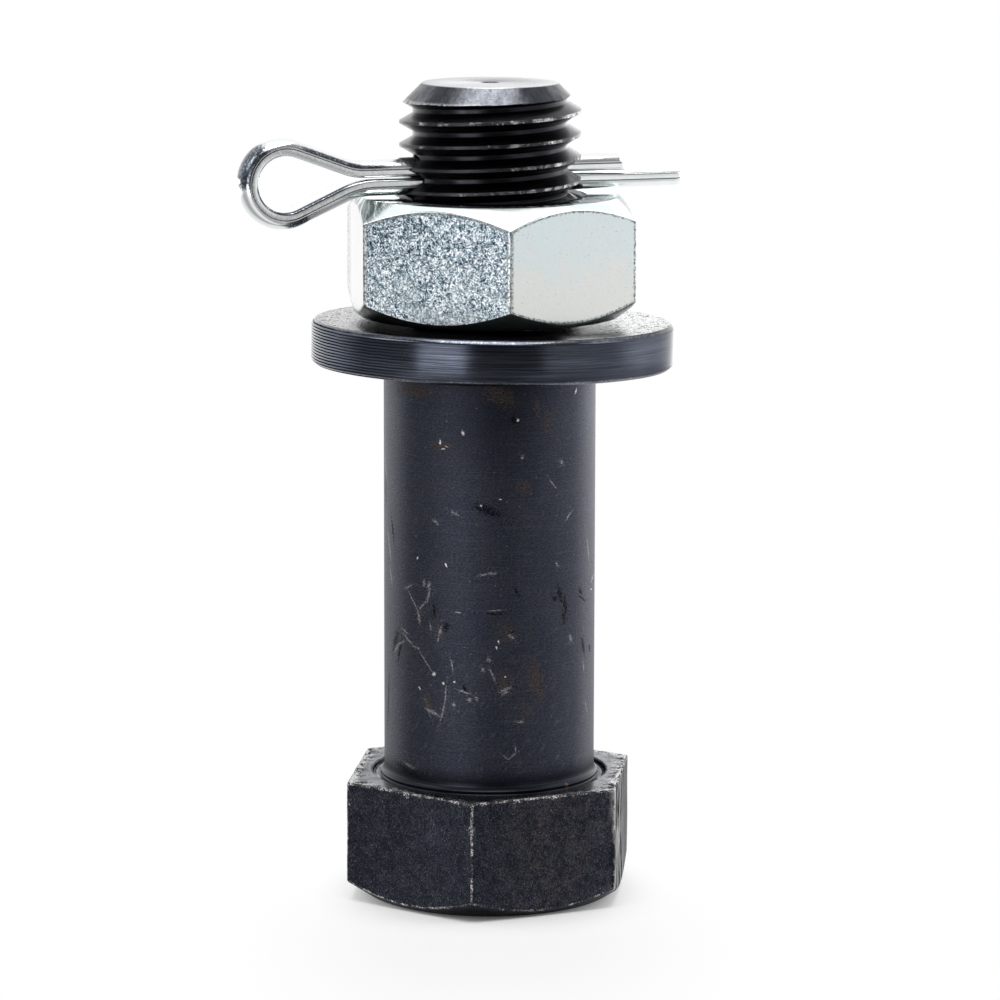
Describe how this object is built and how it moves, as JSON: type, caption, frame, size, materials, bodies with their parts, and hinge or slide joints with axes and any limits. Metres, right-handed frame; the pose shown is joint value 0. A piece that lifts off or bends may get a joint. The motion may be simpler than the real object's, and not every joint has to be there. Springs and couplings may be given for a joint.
{
  "type": "rod bolt",
  "caption": "Shouldered hex bolt with plain washer, hex nut and split pin, to clamp a rod or link on its ground shank.",
  "frame": {"origin": "centre of the head's end face, on which the bolt stands", "axes": "+Z along the bolt from the head to the threaded end, +X along the split pin towards its prongs"},
  "size_m": [0.0601, 0.0477, 0.1075],
  "materials": {
    "black_steel": "black oxide, forged flats, ground shank",
    "washer_steel": "black oxide with turning marks and bright worn edges",
    "zinc_nut": "zinc plated, one flat etched and speckled",
    "zinc_wire": "zinc plated drawn wire"
  },
  "bodies": {
    "root": {"bolt": "black_steel", "washer": "washer_steel", "hex_nut": "zinc_nut", "split_pin": "zinc_wire"}
  },
  "joints": []
}
